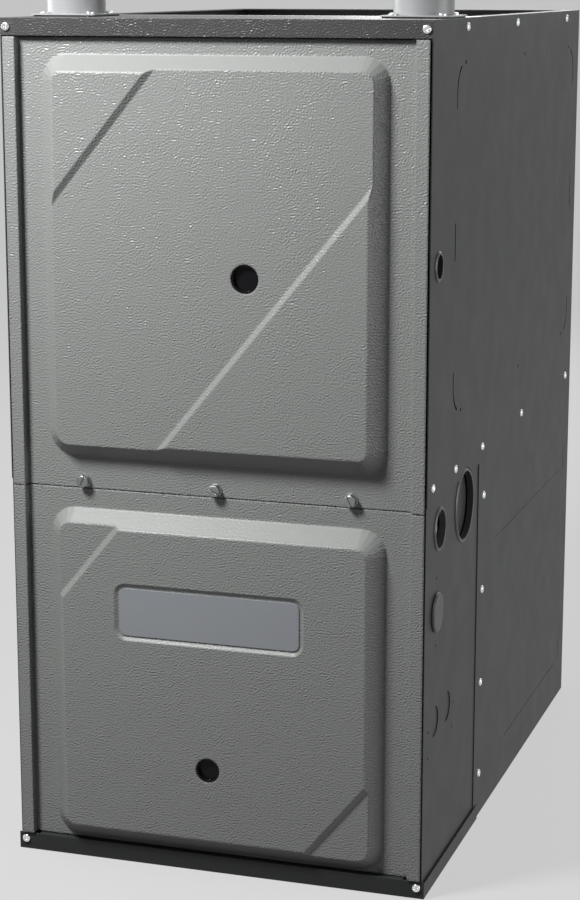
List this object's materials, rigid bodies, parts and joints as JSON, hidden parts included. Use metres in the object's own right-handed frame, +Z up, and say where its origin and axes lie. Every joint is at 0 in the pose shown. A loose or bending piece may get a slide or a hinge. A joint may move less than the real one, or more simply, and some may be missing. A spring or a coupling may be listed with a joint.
{
  "type": "forced air gas furnace",
  "caption": "Upflow condensing gas furnace: casing with lift-off doors, tubular heat exchanger, burners, inducer, blower, controls and round vent collars on top.",
  "frame": {"origin": "middle of the furnace plan, on the floor", "axes": "+Z up, -Y towards the doors, +X to the right of a person facing the doors"},
  "size_m": [0.4492, 0.7354, 0.895],
  "materials": {
    "cabinet_paint": "smooth satin charcoal enamel",
    "rail_paint": "textured charcoal enamel",
    "door_paint": "pebbled grey powder coat",
    "galvanised": "galvanised sheet",
    "aluminised_tube": "aluminised steel",
    "foil_liner": "foil faced fibre board",
    "fin_aluminium": "bare fins",
    "zinc_screw": "bright zinc",
    "die_cast": "sand blasted casting",
    "brass": "turned",
    "black_plastic": "moulded",
    "white_plastic": "plastic pipe",
    "clear_plastic": "cloudy moulding",
    "red_plastic": "button",
    "cream_plastic": "moulded",
    "rubber": "moulded",
    "sight_glass": "dark window",
    "plate_enamel": "bare blue grey plate",
    "collar_plastic": "light grey moulding",
    "ceramic": "ceramic",
    "circuit_board": "lacquered board",
    "motor_enamel": "black enamel on a cast frame",
    "core_enamel": "enamelled iron core"
  },
  "bodies": {
    "cabinet": {"cabinet_wrapper": "cabinet_paint", "base_pan": "cabinet_paint", "top_panel": "rail_paint", "blower_deck": "galvanised", "vestibule_panel": "galvanised", "cabinet_liner": "foil_liner", "heat_exchanger_tubes": "aluminised_tube", "hot_header_box": "galvanised", "secondary_coil": "fin_aluminium", "collector_box": "black_plastic", "burner_box": "galvanised", "burners": "aluminised_tube", "gas_manifold": "galvanised", "gas_orifices": "brass", "gas_valve": "die_cast", "igniter": "ceramic", "flame_sensor": "ceramic", "rollout_switches": "black_plastic", "limit_switch": "black_plastic", "inducer_housing": "black_plastic", "inducer_motor": "motor_enamel", "flue_coupling": "rubber", "vent_pipes": "white_plastic", "pipe_collars": "collar_plastic", "collar_gaskets": "rubber", "collar_screws": "zinc_screw", "pressure_switches": "black_plastic", "pressure_hoses": "rubber", "blower_housing": "galvanised", "blower_rails": "galvanised", "blower_motor": "motor_enamel", "motor_mount": "galvanised", "control_tray": "galvanised", "control_board": "circuit_board", "board_relays": "black_plastic", "transformer": "core_enamel", "junction_box": "galvanised", "door_switch": "cream_plastic", "condensate_trap": "clear_plastic", "drain_hoses": "rubber", "port_bushings": "cabinet_paint", "vent_port_cover": "cabinet_paint", "side_plug": "black_plastic", "front_screws": "zinc_screw", "side_screws": "zinc_screw"},
    "upper_door": {"upper_door": "door_paint", "upper_door_pad": "foil_liner", "upper_sight_glass": "sight_glass", "door_thumb_screws": "zinc_screw"},
    "lower_door": {"lower_door": "door_paint", "lower_door_pad": "foil_liner", "lower_sight_glass": "sight_glass", "name_plate": "plate_enamel"},
    "blower_wheel": {"blower_wheel": "galvanised", "blower_blades": "galvanised"},
    "inducer_wheel": {"inducer_wheel": "black_plastic"},
    "gas_valve_knob": {"gas_valve_knob": "black_plastic"},
    "rollout_button_left": {"rollout_button_left": "red_plastic"},
    "rollout_button_right": {"rollout_button_right": "red_plastic"},
    "door_switch_plunger": {"door_switch_plunger": "red_plastic"}
  },
  "joints": [
    {"name": "upper_door_lift", "type": "slide", "parent": "cabinet", "child": "upper_door", "axis": [0, -1, 0], "range_m": [0, 0.15]},
    {"name": "lower_door_lift", "type": "slide", "parent": "cabinet", "child": "lower_door", "axis": [0, -1, 0], "range_m": [0, 0.15]},
    {"name": "blower_spin", "type": "hinge", "parent": "cabinet", "child": "blower_wheel", "pos_m": [0, 0.1375, 0.212], "axis": [1, 0, 0], "continuous": true},
    {"name": "inducer_spin", "type": "hinge", "parent": "cabinet", "child": "inducer_wheel", "pos_m": [-0.12115, -0.2502, 0.5302], "axis": [0, 1, 0], "continuous": true},
    {"name": "gas_valve_turn", "type": "hinge", "parent": "cabinet", "child": "gas_valve_knob", "pos_m": [0.16705, -0.3077, 0.671], "axis": [0, 0, 1], "range_deg": [0, 90]},
    {"name": "rollout_reset_left", "type": "slide", "parent": "cabinet", "child": "rollout_button_left", "axis": [0, 0, -1], "range_m": [0, 0.0015], "stiffness_N_per_m": 600},
    {"name": "rollout_reset_right", "type": "slide", "parent": "cabinet", "child": "rollout_button_right", "axis": [0, 0, -1], "range_m": [0, 0.0015], "stiffness_N_per_m": 600},
    {"name": "door_switch_press", "type": "slide", "parent": "cabinet", "child": "door_switch_plunger", "axis": [0, 1, 0], "range_m": [0, 0.003], "stiffness_N_per_m": 300}
  ]
}
